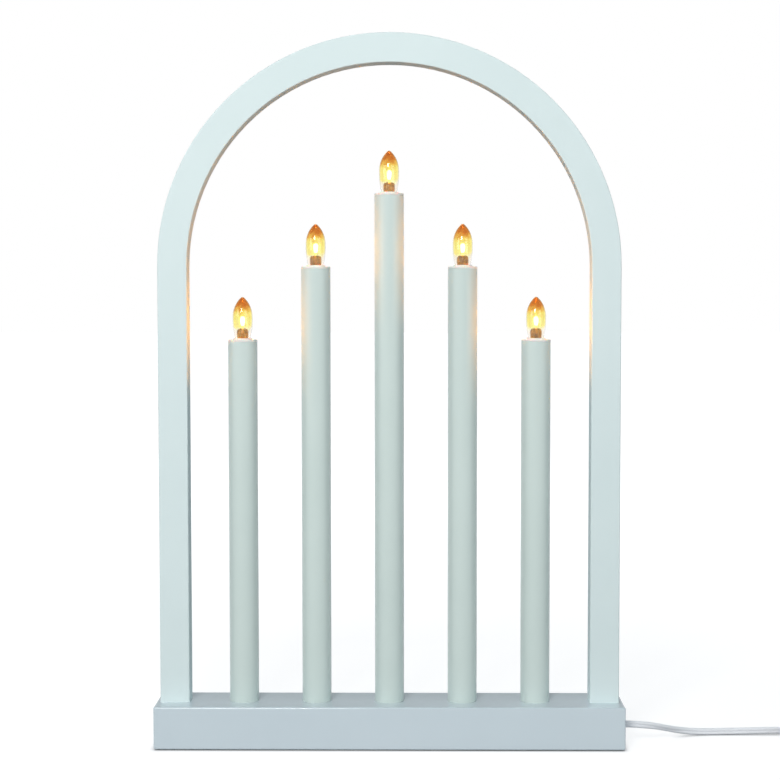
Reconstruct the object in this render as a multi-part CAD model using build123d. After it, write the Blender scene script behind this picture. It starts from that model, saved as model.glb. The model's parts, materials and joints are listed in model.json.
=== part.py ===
from build123d import *
import os
from math import radians, sqrt, tan

os.makedirs("parts", exist_ok=True)

# A candle arch: a base rail with five electric candles under a half-round arch.
# Millimetres, +Z up, origin on the floor under the middle of the base.

# base rail
base_length = 320.0
base_depth = 45.0
base_height = 29.2
base_edge_radius = 1.2

# felt pads under the base
pad_thickness = 0.5
pad_radius = 5.0
pad_end_inset = 7.0
pad_side_inset = 7.5

# arch
arch_inset = 3.0
face_width = 20.0
arch_depth = 16.0
leg_rise = 298.0
arch_edge_radius = 0.8

# dowels in the legs
dowel_radius = 3.0
dowel_spread = 10.0
dowel_in_base = 9.5
dowel_in_leg = 20.0
dowel_end_room = 0.5

# candles
candle_count = 5
candle_spacing = 50.0
tube_radius = 10.0
tube_wall = 1.2
tube_sink = 10.0
tube_edge = 0.2
shortest_rise = 248.5
rise_step = 49.5

# clearances
fit_gap = 0.05
running_gap = 0.2
glass_gap = 0.3

# wire channel and its cover
web_thickness = 4.1
wire_hole_radius = 7.0
channel_depth = 20.0
channel_margin = 12.0
channel_end_wall = 15.0
cover_thickness = 3.0
cover_depth = 34.0
cover_left_margin = 16.0
cover_right_margin = 2.5

# screws, all of one kind
screw_radius = 1.4
screw_head_radius = 2.7
screw_head_height = 1.5
screw_length = 14.0
screw_slot_reach = 1.9
screw_slot_width = 0.7
screw_slot_depth = 0.6
cover_screw_side = 13.5
cover_screw_end = 8.0
cover_screw_rows = 3

# lamp holder
flange_thickness = 1.5
flange_edge = 0.35
collar_height = 1.0
collar_wall = 0.6
holder_length = 20.0
mouth_depth = 2.4
shell_top = 3.0
shell_bottom = 12.0
shell_wall = 0.3
shell_tab_width = 2.2
ledge_width = 0.9
tail_stick_out = 1.0
contact_strip = 0.3
contact_width = 2.4
contact_left = 3.6
contact_right = 2.2
contact_tail_radius = 0.6
contact_tail_offset = 3.0
contact_gap = 0.15
contact_rise = 1.95

# bulb, heights measured from the holder's top face
belly_radius = 6.73
belly_height = 13.0
lower_curve = 57.0
lower_start = 0.3
ogive_start = 15.7
ogive_curve = 17.5
tip_curve = 1.6
glass_wall = 0.5
neck_gap = 0.2
shoulder_depth = 1.8
neck_depth = 4.6
cap_radius = 4.35
cap_wall = 0.25
cap_top = 2.4
cap_bottom = 11.0
thread_pitch = 1.81
thread_turns = 3.25
thread_bead = 0.4
thread_margin = 0.8
insulator_seat = 0.8
insulator_drop = 1.9
contact_radius = 1.6
contact_height = 1.0
stem_neck_gap = 0.4
stem_radius = 3.7
stem_widening = 3.2
stem_shoulder = 4.8
stem_top = 6.8
stem_pinch_radius = 2.2
lead_wire_radius = 0.25
lead_foot = 1.1
filament_half_width = 1.0
filament_bottom = 9.2
filament_top = 16.0
filament_radius = 0.8

# wires
wire_radius = 0.8
wire_bend = 5.0
upper_run_drop = 2.6
lower_run_lift = 2.8
splice_from_candle = 7.0
splice_length = 8.0
splice_wall = 0.7
splice_middle_gap = 1.0

# mains lead: a flat twin flex that stands on its edge
cord_width = 4.8
cord_thickness = 2.5
cord_hole_radius = 4.0
cord_stripped = 22.0
core_radius = 0.75
core_spread = 2.3
core_straight = 2.5
core_slant = 4.0
clamp_length = 6.0
clamp_depth = 18.0
clamp_thickness = 3.0
clamp_screw_side = 6.3
clamp_from_end = 18.5

# how the lead lies: out of the base, down to the floor, along it
bend_share = 0.45
exit_run = 17.0
floor_reach = 47.0
floor_back = 20.5
floor_lift = 0.05
run_back = 22.5
run_reach = 78.0
coil_reach = 146.0
coil_lead_in = 24.0

# put-away coil, its tie and the plug
coil_radius = 31.5
coil_gap = 0.6
layer_gap = 0.5
coil_turns_per_layer = 4
tie_thickness = 0.7
tie_width = 6.0
tie_room = 0.3
tail_straight = 18.0
tail_slant = 20.0
tail_shift = 18.5
tail_end = 20.0
plug_width = 35.3
plug_thickness = 13.7
plug_side_flat = 4.0
plug_top_flat = 26.0
plug_front = 9.0
plug_length = 37.0
plug_rear_width = 15.0
plug_rear_thickness = 10.5
plug_sleeve = 20.0
plug_sleeve_rear = 0.9
plug_sleeve_front = 2.2
plug_rib_width = 1.2
plug_rib_gap = 2.6
pin_radius = 2.0
pin_length = 19.0
pin_spacing = 18.6
pin_sink = 8.0
pin_shank_radius = 1.6
pin_tip_round = 1.2

# places that follow from the sizes above
half_length = base_length / 2
base_bottom = pad_thickness
base_top = base_bottom + base_height
arch_radius = half_length - arch_inset
spring_height = base_top + leg_rise
leg_middle = arch_radius - face_width / 2
channel_roof = base_top - tube_sink - web_thickness
channel_right = half_length - channel_end_wall
cover_top = base_bottom + cover_thickness
upper_run = channel_roof - upper_run_drop
lower_run = cover_top + lower_run_lift
cord_height = channel_roof - cord_width / 2
tube_inside = tube_radius - tube_wall
cap_inside = cap_radius - cap_wall
neck_radius = cap_inside - neck_gap
stem_neck_radius = neck_radius - glass_wall - stem_neck_gap
bulb_depth = cap_bottom + insulator_drop + contact_height
spring_foot = bulb_depth + contact_gap + contact_rise
thread_radius = cap_radius + thread_bead
shell_inside = thread_radius + running_gap
shell_outside = shell_inside + shell_wall
bore_radius = shell_outside + fit_gap
half_count = (candle_count - 1) / 2
channel_left = -half_count * candle_spacing - channel_margin
splice_start = half_count * candle_spacing + splice_from_candle


def save(name, solids):
    shape = solids[0] if len(solids) == 1 else Compound(solids)
    export_step(shape, "parts/" + name + ".step")


def candle_x(number):
    return (number - half_count) * candle_spacing


def candle_top(number):
    return base_top + shortest_rise + (half_count - abs(number - half_count)) * rise_step


def rod(radius, bottom, top, x=0.0, y=0.0):
    return Pos(x, y, (bottom + top) / 2) * Cylinder(radius, top - bottom)


def block(left, right, front, back, bottom, top):
    middle = Pos((left + right) / 2, (front + back) / 2, (bottom + top) / 2)
    return middle * Box(right - left, back - front, top - bottom)


def turned(outline):
    edge = Polyline(*[(radius, 0, height) for radius, height in outline], close=True)
    return revolve(make_face(edge), Axis.Z)


def bends(points):
    radii = []
    for before, corner, after in zip(points, points[1:], points[2:]):
        arriving = Vector(*corner) - Vector(*before)
        leaving = Vector(*after) - Vector(*corner)
        turn = radians(arriving.get_angle(leaving))
        radii.append(bend_share * min(arriving.length, leaving.length) / tan(turn / 2))
    return radii


def flex_section(start):
    return Plane(origin=start, x_dir=(0, 0, 1), z_dir=(1, 0, 0)) * SlotOverall(cord_width, cord_thickness)


def flex(edges, start, name):
    path = Wire(edges)
    section = flex_section(start)
    line_above = Pos(0, 0, coil_radius) * path
    solid = sweep(section, path=path, binormal=line_above)
    print(name, "length", round(path.length, 1), "volume", round(solid.volume, 1),
          "section times length", round(section.area * path.length, 1))
    return solid


def wire(points, radius=wire_radius):
    path = FilletPolyline(*points, radius=bends_up_to(points, wire_bend))
    return sweep(Plane(origin=path @ 0, z_dir=path % 0) * Circle(radius), path=path)


def bends_up_to(points, most):
    return [min(most, radius) for radius in bends(points)]


# arch frame
def make_arch():
    inner = arch_radius - face_width
    outline = [
        Line((-arch_radius, 0, base_top), (-arch_radius, 0, spring_height)),
        ThreePointArc((-arch_radius, 0, spring_height), (0, 0, spring_height + arch_radius),
                      (arch_radius, 0, spring_height)),
        Line((arch_radius, 0, spring_height), (arch_radius, 0, base_top)),
        Line((arch_radius, 0, base_top), (inner, 0, base_top)),
        Line((inner, 0, base_top), (inner, 0, spring_height)),
        ThreePointArc((inner, 0, spring_height), (0, 0, spring_height + inner),
                      (-inner, 0, spring_height)),
        Line((-inner, 0, spring_height), (-inner, 0, base_top)),
        Line((-inner, 0, base_top), (-arch_radius, 0, base_top)),
    ]
    arch = extrude(make_face(outline), amount=arch_depth / 2, both=True)
    rims = arch.faces().filter_by(Axis.Y).edges()
    above_feet = rims.filter_by_position(Axis.Z, base_top + arch_edge_radius, spring_height + arch_radius)
    arch = fillet(above_feet, arch_edge_radius)
    for x in dowel_places():
        arch -= rod(dowel_radius + fit_gap, base_top, base_top + dowel_in_leg + dowel_end_room, x)
    return arch


def dowel_places():
    sides = [-leg_middle, leg_middle]
    return [side + shift * dowel_spread / 2 for side in sides for shift in (-1, 1)]


def make_dowels():
    return [rod(dowel_radius, base_top - dowel_in_base, base_top + dowel_in_leg, x)
            for x in dowel_places()]


# base rail, its cover, screws and pads
def cover_screw_places():
    left = channel_left - cover_left_margin + cover_screw_end
    right = channel_right + cover_right_margin - cover_screw_end
    step = (right - left) / (cover_screw_rows - 1)
    return [(left + row * step, side * cover_screw_side)
            for row in range(cover_screw_rows) for side in (-1, 1)]


def clamp_screw_places():
    return [(half_length - clamp_from_end, side * clamp_screw_side) for side in (-1, 1)]


def screw(x, y, bottom):
    neck = bottom + screw_head_height
    body = turned([(0, bottom), (screw_head_radius, bottom), (screw_radius, neck),
                   (screw_radius, bottom + screw_length - screw_radius),
                   (0, bottom + screw_length)])
    reach = screw_slot_reach
    half = screw_slot_width / 2
    body -= block(-reach, reach, -half, half, bottom, bottom + screw_slot_depth)
    body -= block(-half, half, -reach, reach, bottom, bottom + screw_slot_depth)
    return Pos(x, y, 0) * body


def screw_room(x, y, bottom):
    neck = bottom + screw_head_height
    room = turned([(0, bottom), (screw_head_radius + fit_gap, bottom),
                   (screw_radius + fit_gap, neck),
                   (screw_radius + fit_gap, bottom + screw_length + fit_gap),
                   (0, bottom + screw_length + fit_gap)])
    return Pos(x, y, 0) * room


def clamp_bottom():
    return cord_height - cord_width / 2 - clamp_thickness


def make_base():
    half = base_depth / 2
    body = block(-half_length, half_length, -half, half, base_bottom, base_top)
    body = fillet(body.edges(), base_edge_radius)
    for number in range(candle_count):
        x = candle_x(number)
        body -= rod(tube_radius + fit_gap, base_top - tube_sink, base_top, x)
        body -= rod(wire_hole_radius, channel_roof, base_top - tube_sink, x)
    body -= block(channel_left, channel_right, -channel_depth / 2, channel_depth / 2,
                  base_bottom, channel_roof)
    body -= block(channel_left - cover_left_margin, channel_right + cover_right_margin,
                  -cover_depth / 2, cover_depth / 2, base_bottom, cover_top)
    hole = Cylinder(cord_hole_radius, channel_end_wall)
    body -= Pos(half_length - channel_end_wall / 2, 0, cord_height) * Rot(0, 90, 0) * hole
    for x in dowel_places():
        body -= rod(dowel_radius + fit_gap, base_top - dowel_in_base - dowel_end_room, base_top, x)
    for x, y in cover_screw_places():
        body -= screw_room(x, y, base_bottom)
    for x, y in clamp_screw_places():
        body -= screw_room(x, y, clamp_bottom())
    return body


def make_cover():
    plate = block(channel_left - cover_left_margin + fit_gap, channel_right + cover_right_margin - fit_gap,
                  -cover_depth / 2 + fit_gap, cover_depth / 2 - fit_gap, base_bottom, cover_top)
    for x, y in cover_screw_places():
        plate -= screw_room(x, y, base_bottom)
    return plate


def make_screws():
    in_cover = [screw(x, y, base_bottom) for x, y in cover_screw_places()]
    in_clamp = [screw(x, y, clamp_bottom()) for x, y in clamp_screw_places()]
    return in_cover + in_clamp


def make_pads():
    across = half_length - pad_end_inset
    along = base_depth / 2 - pad_side_inset
    return [rod(pad_radius, 0, pad_thickness, x, y) for x in (-across, across) for y in (-along, along)]


# candle tube and lamp holder
def make_tube(number):
    bottom = base_top - tube_sink
    top = candle_top(number) - flange_thickness
    x = candle_x(number)
    wall = turned([(tube_inside, bottom), (tube_radius, bottom), (tube_radius, top - tube_edge),
                   (tube_radius - tube_edge, top), (tube_inside, top)])
    return Pos(x, 0, 0) * wall


def make_holder(number):
    mouth = glass_radius(collar_height) + glass_gap
    chamber = bore_radius - ledge_width
    floor = -spring_foot
    barrel = tube_inside - running_gap
    body = turned([
        (barrel, -holder_length), (barrel, -flange_thickness), (tube_radius - tube_edge, -flange_thickness),
        (tube_radius, tube_edge - flange_thickness), (tube_radius, -flange_edge),
        (tube_radius - flange_edge, 0), (mouth + collar_wall, 0), (mouth + collar_wall, collar_height),
        (mouth, collar_height), (bore_radius, -mouth_depth), (bore_radius, -shell_bottom),
        (chamber, -shell_bottom), (chamber, floor), (0, floor), (0, -holder_length)])
    half = shell_tab_width / 2 + fit_gap
    body -= block(shell_inside - fit_gap, shell_outside + fit_gap, -half, half,
                  -holder_length, -shell_bottom)
    body -= rod(contact_tail_radius + fit_gap, -holder_length, floor, -contact_tail_offset)
    return Pos(candle_x(number), 0, candle_top(number)) * body


def make_shell(number):
    shell = rod(shell_outside, -shell_bottom, -shell_top) - rod(shell_inside, -shell_bottom, -shell_top)
    half = shell_tab_width / 2
    tab = block(shell_inside, shell_outside, -half, half,
                -holder_length - tail_stick_out, -shell_top - shell_wall)
    shell += tab & rod(shell_outside, -holder_length - tail_stick_out, -shell_top)
    shell -= rod(shell_inside, -shell_bottom, -shell_top)
    return Pos(candle_x(number), 0, candle_top(number)) * shell


def make_spring(number):
    floor = -spring_foot
    touch = -bulb_depth - contact_gap
    slim = contact_strip
    outline = [
        (-contact_left, floor), (contact_right, floor), (contact_right, floor + 2 * slim),
        (contact_radius / 2, touch), (-contact_radius / 2, touch),
        (-contact_radius / 2, touch - slim), (contact_radius / 2 - slim, touch - slim),
        (contact_right - 2 * slim, floor + slim), (-contact_left, floor + slim)]
    edge = Polyline(*[(x, 0, height) for x, height in outline], close=True)
    strip = extrude(make_face(edge), amount=contact_width / 2, both=True)
    strip += rod(contact_tail_radius, -holder_length - tail_stick_out, floor, -contact_tail_offset)
    return Pos(candle_x(number), 0, candle_top(number)) * strip


# bulb
def glass_radius(height):
    drop = belly_height - height
    return belly_radius - lower_curve + sqrt(lower_curve ** 2 - drop ** 2)


def glass_body(shrink):
    ogive_middle = belly_radius - ogive_curve
    between = ogive_curve - tip_curve
    tip_middle = ogive_start + sqrt(between ** 2 - ogive_middle ** 2)
    reach = (ogive_curve - shrink) / between
    tip_start = (ogive_middle - ogive_middle * reach, 0,
                 ogive_start + (tip_middle - ogive_start) * reach)
    tip = (0, 0, tip_middle + tip_curve - shrink)
    belly = (belly_radius - shrink, 0, belly_height)
    neck = neck_radius - shrink
    foot = (glass_radius(lower_start) - shrink, 0, lower_start)
    lower = TangentArc(belly, foot, tangent=(0, 0, -1))
    ogive = TangentArc((belly_radius - shrink, 0, ogive_start), tip_start, tangent=(0, 0, 1))
    dome = TangentArc(tip_start, tip, tangent=ogive % 1)
    rest = Polyline(tip, (0, 0, -neck_depth), (neck, 0, -neck_depth), (neck, 0, -shoulder_depth), foot)
    side = Line(belly, (belly_radius - shrink, 0, ogive_start))
    return revolve(make_face([lower, side, ogive, dome, rest]), Axis.Z)


def make_glass(number):
    glass = glass_body(0) - glass_body(glass_wall)
    return Pos(candle_x(number), 0, candle_top(number)) * glass


def make_cap(number):
    helix = Helix(pitch=thread_pitch, height=thread_pitch * thread_turns, radius=cap_radius)
    bead = sweep(Plane(origin=helix @ 0, z_dir=helix % 0) * Circle(thread_bead), path=helix, is_frenet=True)
    cap = rod(cap_radius, -cap_bottom, -cap_top) + Pos(0, 0, thread_margin - cap_bottom) * bead
    cap -= rod(cap_inside, -cap_bottom, -cap_top)
    return Pos(candle_x(number), 0, candle_top(number)) * cap


def make_insulator(number):
    seat = cap_inside - fit_gap
    body = turned([(0, -cap_bottom + insulator_seat), (seat, -cap_bottom + insulator_seat),
                   (seat, -cap_bottom), (contact_radius + contact_strip, -cap_bottom - insulator_drop),
                   (0, -cap_bottom - insulator_drop)])
    return Pos(candle_x(number), 0, candle_top(number)) * body


def make_bulb_contact(number):
    top = -cap_bottom - insulator_drop
    tip = rod(contact_radius, -bulb_depth, top)
    lower_rim = tip.edges().sort_by(Axis.Z)[0]
    tip = fillet(lower_rim, contact_height / 2)
    return Pos(candle_x(number), 0, candle_top(number)) * tip


def make_mount(number):
    stem = turned([(0, -neck_depth), (stem_neck_radius, -neck_depth), (stem_neck_radius, -shoulder_depth),
                   (stem_radius, -shoulder_depth + stem_widening), (stem_radius, stem_shoulder),
                   (stem_pinch_radius, stem_top), (0, stem_top)])
    foot = -cap_bottom + insulator_seat
    crown = filament_top - filament_radius - filament_half_width
    for side in (-1, 1):
        stem += rod(lead_wire_radius, foot, -neck_depth, side * lead_foot)
        stem += rod(lead_wire_radius, stem_shoulder, filament_bottom, side * filament_half_width)
        stem += rod(filament_radius, filament_bottom, crown, side * filament_half_width)
    upper_half = Pos(0, filament_top / 2, 0) * Box(filament_top, filament_top, filament_top)
    turn = Torus(filament_half_width, filament_radius) & upper_half
    stem += Pos(0, 0, crown) * Rot(90, 0, 0) * turn
    return Pos(candle_x(number), 0, candle_top(number)) * stem


# wires that join the lamps in series
def terminal_height(number):
    return candle_top(number) - holder_length - tail_stick_out


def contact_side(number):
    return candle_x(number) - contact_tail_offset


def shell_side(number):
    return candle_x(number) + shell_outside - shell_wall / 2


def make_wires():
    end = splice_start + (splice_length - splice_middle_gap) / 2
    last = candle_count - 1
    runs = [wire([(contact_side(0), 0, terminal_height(0)), (contact_side(0), 0, lower_run),
                  (end, 0, lower_run)])]
    for number in range(last):
        after = number + 1
        runs.append(wire([(shell_side(number), 0, terminal_height(number)),
                          (shell_side(number), 0, upper_run), (contact_side(after), 0, upper_run),
                          (contact_side(after), 0, terminal_height(after))]))
    runs.append(wire([(shell_side(last), 0, terminal_height(last)), (shell_side(last), 0, upper_run),
                      (end, 0, upper_run)]))
    return runs


def make_splices():
    sleeve = Cylinder(wire_radius + fit_gap + splice_wall, splice_length)
    sleeve -= Cylinder(wire_radius + fit_gap, splice_length)
    middle = splice_start + splice_length / 2
    return [Pos(middle, 0, height) * Rot(0, 90, 0) * sleeve for height in (lower_run, upper_run)]


# the held end of the lead, its bush and its clamp
def make_inner_lead():
    start = half_length - cord_stripped
    line = Line((start, 0, cord_height), (half_length, 0, cord_height))
    lead = sweep(flex_section(line @ 0), path=line)
    end = splice_start + (splice_length + splice_middle_gap) / 2
    for height, side in ((lower_run, -1), (upper_run, 1)):
        level = cord_height + side * core_spread / 2
        bend = start - core_straight
        lead += wire([(end, 0, height), (bend - core_slant, 0, height), (bend, 0, level),
                      (start + core_straight, 0, level)], core_radius)
    return lead


def make_bush():
    body = Cylinder(cord_hole_radius - fit_gap, channel_end_wall)
    body = Pos(half_length - channel_end_wall / 2, 0, cord_height) * Rot(0, 90, 0) * body
    slot = SlotOverall(cord_width + 2 * fit_gap, cord_thickness + 2 * fit_gap)
    plane = Plane(origin=(channel_right, 0, cord_height), x_dir=(0, 0, 1), z_dir=(1, 0, 0))
    return body - extrude(plane * slot, amount=channel_end_wall)


def make_clamp():
    middle = half_length - clamp_from_end
    top = clamp_bottom() + clamp_thickness
    bar = block(middle - clamp_length / 2, middle + clamp_length / 2, -clamp_depth / 2, clamp_depth / 2,
                clamp_bottom(), top)
    for x, y in clamp_screw_places():
        bar -= screw_room(x, y, clamp_bottom())
    return bar


# the free lead: down to the floor, along it, and into the coil
floor_level = cord_width / 2 + floor_lift
coil_low = cord_width / 2 + tie_thickness + tie_room + floor_lift
coil_high = coil_low + cord_width + layer_gap
coil_pitch = cord_thickness + coil_gap
coil_x = half_length + coil_reach
coil_y = run_back - coil_radius
tail_level = plug_thickness / 2 + floor_lift


def make_free_lead():
    points = [
        (half_length, 0, cord_height),
        (half_length + exit_run, 0, cord_height),
        (half_length + floor_reach, floor_back, floor_level),
        (half_length + run_reach, run_back, floor_level),
        (coil_x - coil_lead_in, run_back, coil_low),
        (coil_x, run_back, coil_low),
    ]
    radii = bends(points)
    print("free lead radii", [round(radius, 1) for radius in radii])
    path = FilletPolyline(*points, radius=radii)
    return flex(path.edges(), points[0], "free lead"), path.length


def half_turn(radius, back, right, level):
    front = back - 2 * radius * right
    return ThreePointArc((coil_x, coil_y + back, level),
                         (coil_x + radius * right, coil_y + (back + front) / 2, level),
                         (coil_x, coil_y + front, level)), front


def coil_edges():
    edges = []
    place = coil_radius
    right = 1
    halves = 2 * coil_turns_per_layer
    for half in range(halves):
        arc, place = half_turn(coil_radius - half * coil_pitch / 2, place, right, coil_low)
        edges.append(arc)
        right = -right
    rise = coil_high - coil_low
    inner = coil_radius - halves * coil_pitch / 2
    middle = (coil_x + sqrt(inner ** 2 + rise ** 2 / 4), coil_y + place - inner, coil_low + rise / 2)
    climb = TangentArc((coil_x, coil_y + place, coil_low), middle, tangent=(1, 0, 0))
    place -= 2 * inner
    edges.append(climb)
    edges.append(TangentArc(middle, (coil_x, coil_y + place, coil_high), tangent=climb % 1))
    right = -1
    for half in range(halves - 1, 0, -1):
        arc, place = half_turn(coil_radius - half * coil_pitch / 2, place, right, coil_high)
        edges.append(arc)
        right = -right
    return edges


def self_gap(path):
    count = int(path.length / cord_thickness)
    places = [path.position_at(step / count) for step in range(count + 1)]
    skip = int(2 * cord_width / cord_thickness) + 1
    least = path.length
    for first, a in enumerate(places):
        for b in places[first + skip:]:
            beside = sqrt((a.X - b.X) ** 2 + (a.Y - b.Y) ** 2) - cord_thickness
            above = abs(a.Z - b.Z) - cord_width
            least = min(least, max(beside, above))
    return least


def make_coil():
    edges = coil_edges()
    path = Wire(edges)
    print("coil least gap to itself", round(self_gap(path), 2))
    return flex(edges, edges[0] @ 0, "coil"), path.length


def make_tail():
    points = [
        (coil_x, run_back, coil_high),
        (coil_x + tail_straight, run_back, coil_high),
        (coil_x + tail_straight + tail_slant, run_back - tail_shift, tail_level),
        (coil_x + tail_straight + tail_slant + tail_end, run_back - tail_shift, tail_level),
    ]
    radii = bends(points)
    print("tail radii", [round(radius, 1) for radius in radii])
    path = FilletPolyline(*points, radius=radii)
    return flex(path.edges(), points[0], "tail"), path.length, points[-1]


def make_tie():
    inner = coil_radius - coil_turns_per_layer * coil_pitch
    sag = inner - sqrt(inner ** 2 - tie_width ** 2 / 4)
    left = coil_x + inner - cord_thickness / 2 - sag - tie_room
    right = coil_x + coil_radius + cord_thickness / 2 + tie_room
    bottom = coil_low - cord_width / 2 - tie_room
    top = coil_high + cord_width / 2 + tie_room
    front = coil_y - tie_width / 2
    back = coil_y + tie_width / 2
    room = block(left, right, front, back, bottom, top)
    room = fillet(room.edges().filter_by(Axis.Y), tie_thickness)
    band = block(left - tie_thickness, right + tie_thickness, front, back,
                 bottom - tie_thickness, top + tie_thickness)
    band = fillet(band.edges().filter_by(Axis.Y), 2 * tie_thickness)
    return band - room


# plug
def plug_outline(x, width, thickness, flat_share, side):
    half_width = width / 2
    half_flat = flat_share * width / 2
    half_thick = thickness / 2
    points = [(-half_flat, half_thick), (half_flat, half_thick), (half_width, side / 2),
              (half_width, -side / 2), (half_flat, -half_thick), (-half_flat, -half_thick),
              (-half_width, -side / 2), (-half_width, side / 2)]
    plane = Plane(origin=(x, run_back - tail_shift, tail_level), x_dir=(0, 1, 0), z_dir=(1, 0, 0))
    return plane * make_face(Polyline(*points, close=True))


def pin_places():
    middle = run_back - tail_shift
    return [middle - pin_spacing / 2, middle + pin_spacing / 2]


def make_plug(rear):
    share = plug_top_flat / plug_width
    sleeve_end = rear + plug_sleeve
    face = sleeve_end + plug_length
    rear_side = plug_side_flat * plug_rear_width / plug_width
    front = plug_outline(face, plug_width, plug_thickness, share, plug_side_flat)
    middle = plug_outline(face - plug_front, plug_width, plug_thickness, share, plug_side_flat)
    back = plug_outline(sleeve_end, plug_rear_width, plug_rear_thickness, share, rear_side)
    body = loft([back, middle])
    body += extrude(front, amount=-plug_front)
    small = (cord_thickness / 2 + plug_sleeve_rear, cord_width / 2 + plug_sleeve_rear)
    large = (cord_thickness / 2 + plug_sleeve_front, cord_width / 2 + plug_sleeve_front)
    ends = []
    for x, (half_wide, half_high) in ((rear, small), (sleeve_end, large)):
        plane = Plane(origin=(x, run_back - tail_shift, tail_level), x_dir=(0, 1, 0), z_dir=(1, 0, 0))
        ends.append(plane * Ellipse(half_wide, half_high))
    sleeve = loft(ends)
    core = (cord_thickness + cord_width) / 4
    start = rear + plug_rib_width
    while start + plug_rib_width < sleeve_end - plug_rib_width:
        ring = block(start, start + plug_rib_width, -plug_width, plug_width, 0, 2 * tail_level)
        plane = Plane(origin=(start, run_back - tail_shift, tail_level), x_dir=(0, 1, 0), z_dir=(1, 0, 0))
        tall = core + (cord_width - cord_thickness) / 4
        keep = extrude(plane * Ellipse(core, tall), amount=plug_rib_width)
        sleeve -= ring - keep
        start += plug_rib_gap
    body += sleeve
    for y in pin_places():
        hole = Cylinder(pin_shank_radius + fit_gap, pin_sink)
        body -= Pos(face - pin_sink / 2, y, tail_level) * Rot(0, 90, 0) * hole
    return body, face


def make_pins(face):
    pins = []
    for y in pin_places():
        pin = rod(pin_radius, 0, pin_length)
        tip = pin.edges().sort_by(Axis.Z)[-1]
        pin = fillet(tip, pin_tip_round)
        pin += rod(pin_shank_radius, -pin_sink, 0)
        pins.append(Pos(face, y, tail_level) * Rot(0, 90, 0) * pin)
    return pins


save("arch_frame", [make_arch()])
save("leg_dowels", make_dowels())
save("base_rail", [make_base()])
save("base_cover", [make_cover()])
save("base_screws", make_screws())
save("felt_pads", make_pads())
everyone = range(candle_count)
for number in everyone:
    label = str(number + 1)
    save("candle_tube_" + label, [make_tube(number)])
    save("lamp_holder_" + label, [make_holder(number)])
    save("bulb_glass_" + label, [make_glass(number)])
    save("bulb_cap_" + label, [make_cap(number)])
    save("bulb_insulator_" + label, [make_insulator(number)])
    save("bulb_contact_" + label, [make_bulb_contact(number)])
    save("bulb_mount_" + label, [make_mount(number)])
save("socket_shells", [make_shell(number) for number in everyone])
save("socket_springs", [make_spring(number) for number in everyone])
for number, run in enumerate(make_wires()):
    save("series_wire_" + str(number + 1), [run])
save("wire_splices", make_splices())
save("cord_inner", [make_inner_lead()])
save("cord_bush", [make_bush()])
save("cord_clamp", [make_clamp()])
free_lead, free_length = make_free_lead()
coil, coil_length = make_coil()
tail, tail_length, tail_point = make_tail()
plug, plug_face = make_plug(tail_point[0])
save("cord_free", [free_lead])
save("cord_coil", [coil])
save("cord_tail", [tail])
save("coil_tie", [make_tie()])
save("plug_body", [plug])
save("plug_pins", make_pins(plug_face))
print("lead from base to plug", round(free_length + coil_length + tail_length, 1))
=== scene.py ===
import json
import math
import bpy
from mathutils import Matrix, Vector


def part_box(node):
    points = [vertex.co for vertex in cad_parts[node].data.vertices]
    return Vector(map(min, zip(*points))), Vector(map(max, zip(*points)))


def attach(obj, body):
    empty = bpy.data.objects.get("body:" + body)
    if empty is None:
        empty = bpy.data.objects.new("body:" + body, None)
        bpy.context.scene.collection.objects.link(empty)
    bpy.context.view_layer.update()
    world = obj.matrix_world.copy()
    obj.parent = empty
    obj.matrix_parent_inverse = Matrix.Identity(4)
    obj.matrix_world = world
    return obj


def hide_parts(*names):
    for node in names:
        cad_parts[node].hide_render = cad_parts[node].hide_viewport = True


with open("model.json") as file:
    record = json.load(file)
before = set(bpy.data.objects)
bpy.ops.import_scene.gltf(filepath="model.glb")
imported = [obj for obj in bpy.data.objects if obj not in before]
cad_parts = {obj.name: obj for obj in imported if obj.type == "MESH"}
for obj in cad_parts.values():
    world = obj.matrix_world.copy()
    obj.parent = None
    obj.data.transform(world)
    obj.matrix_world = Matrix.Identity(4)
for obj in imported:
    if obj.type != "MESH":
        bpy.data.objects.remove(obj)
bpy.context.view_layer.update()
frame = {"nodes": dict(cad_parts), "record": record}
nodes = frame["nodes"]
scene = bpy.context.scene
scene.view_settings.view_transform = "Standard"
print("frame loaded:", len(nodes), "nodes")


def clearSelection():
    if bpy.context.mode != "OBJECT":
        bpy.ops.object.mode_set(mode="OBJECT")
    bpy.ops.object.select_all(action="DESELECT")


def pickOnly(piece):
    clearSelection()
    piece.select_set(True)
    bpy.context.view_layer.objects.active = piece


def applyAll(piece):
    pickOnly(piece)
    for modifier in [m.name for m in piece.modifiers]:
        bpy.ops.object.modifier_apply(modifier=modifier)
    bpy.ops.object.transform_apply(location=True, rotation=True, scale=True)


def tidyShell(piece, angle, mergeWithin=1e-6):
    pickOnly(piece)
    bpy.ops.object.mode_set(mode="EDIT")
    bpy.ops.mesh.select_all(action="SELECT")
    bpy.ops.mesh.remove_doubles(threshold=mergeWithin)
    bpy.ops.mesh.normals_make_consistent(inside=False)
    bpy.ops.object.mode_set(mode="OBJECT")
    bpy.ops.object.shade_smooth_by_angle(angle=math.radians(angle))


def joinInto(target, *others):
    pickOnly(target)
    for piece in others:
        piece.select_set(True)
    bpy.ops.object.join()
    return target


def addSpline(data, points):
    spline = data.splines.new("NURBS")
    spline.points.add(len(points) - 1)
    for target, place in zip(spline.points, points):
        target.co = (*place, 1.0)
    spline.order_u = 3
    spline.use_endpoint_u = True


# camera, at the photograph's place
cameraSet = {"place": (0.01269, -1.15427, 0.30464), "tilt": 86.9772, "turn": 0.6054, "roll": -0.054,
             "lens": 78.115, "sensor": 36.0, "reach": 100.0}


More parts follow.
